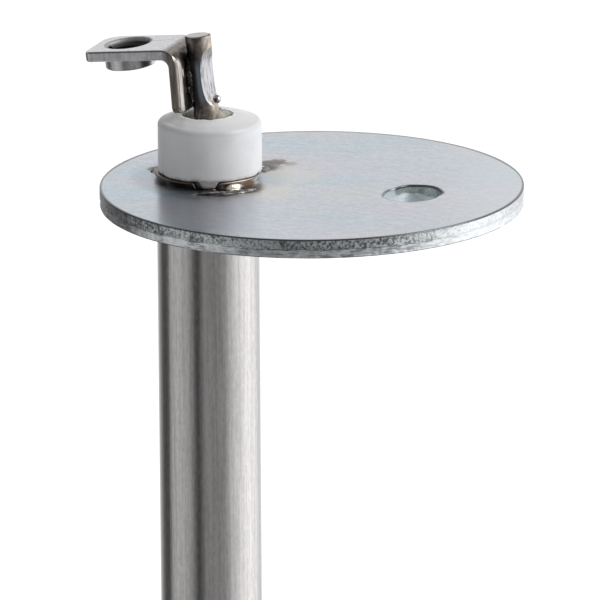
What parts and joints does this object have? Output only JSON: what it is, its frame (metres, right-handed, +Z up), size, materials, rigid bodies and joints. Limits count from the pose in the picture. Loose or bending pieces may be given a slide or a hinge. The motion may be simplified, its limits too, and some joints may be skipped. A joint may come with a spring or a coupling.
{
  "type": "ignition electrode",
  "caption": "Ceramic-insulated spark electrode in a long steel sleeve with a round screw-on flange and a bent terminal tab.",
  "frame": {"origin": "on the sleeve's axis, in the plane of the flange's underside, the face that seats on the burner", "axes": "+Z up to the terminal, -Z down the sleeve to the spark tip, +X from the sleeve towards the flange's screw hole"},
  "size_m": [0.0518, 0.0494, 0.1234],
  "materials": {
    "zinc_plated_steel": "clear zinc plate, faintly iridescent, semi-gloss",
    "stainless_sleeve": "drawn stainless steel, satin",
    "weld_metal": "heat-tinted weld bead",
    "glazed_ceramic": "white glaze",
    "alumina": "unglazed alumina",
    "electrode_alloy": "oxidised heat-resisting wire",
    "cement": "rough refractory cement",
    "terminal_steel": "nickel-plated pressed steel, satin"
  },
  "bodies": {
    "root": {"flange_plate": "zinc_plated_steel", "sleeve_tube": "stainless_sleeve", "front_tack_weld": "weld_metal", "right_tack_weld": "weld_metal", "left_tack_weld": "weld_metal", "head_insulator": "glazed_ceramic", "core_insulator": "alumina", "electrode_rod": "electrode_alloy", "rod_seal_cement": "cement", "nose_seal_cement": "cement", "head_bed_cement": "cement", "terminal_tab": "terminal_steel", "terminal_weld": "weld_metal", "weld_bead": "weld_metal"}
  },
  "joints": []
}
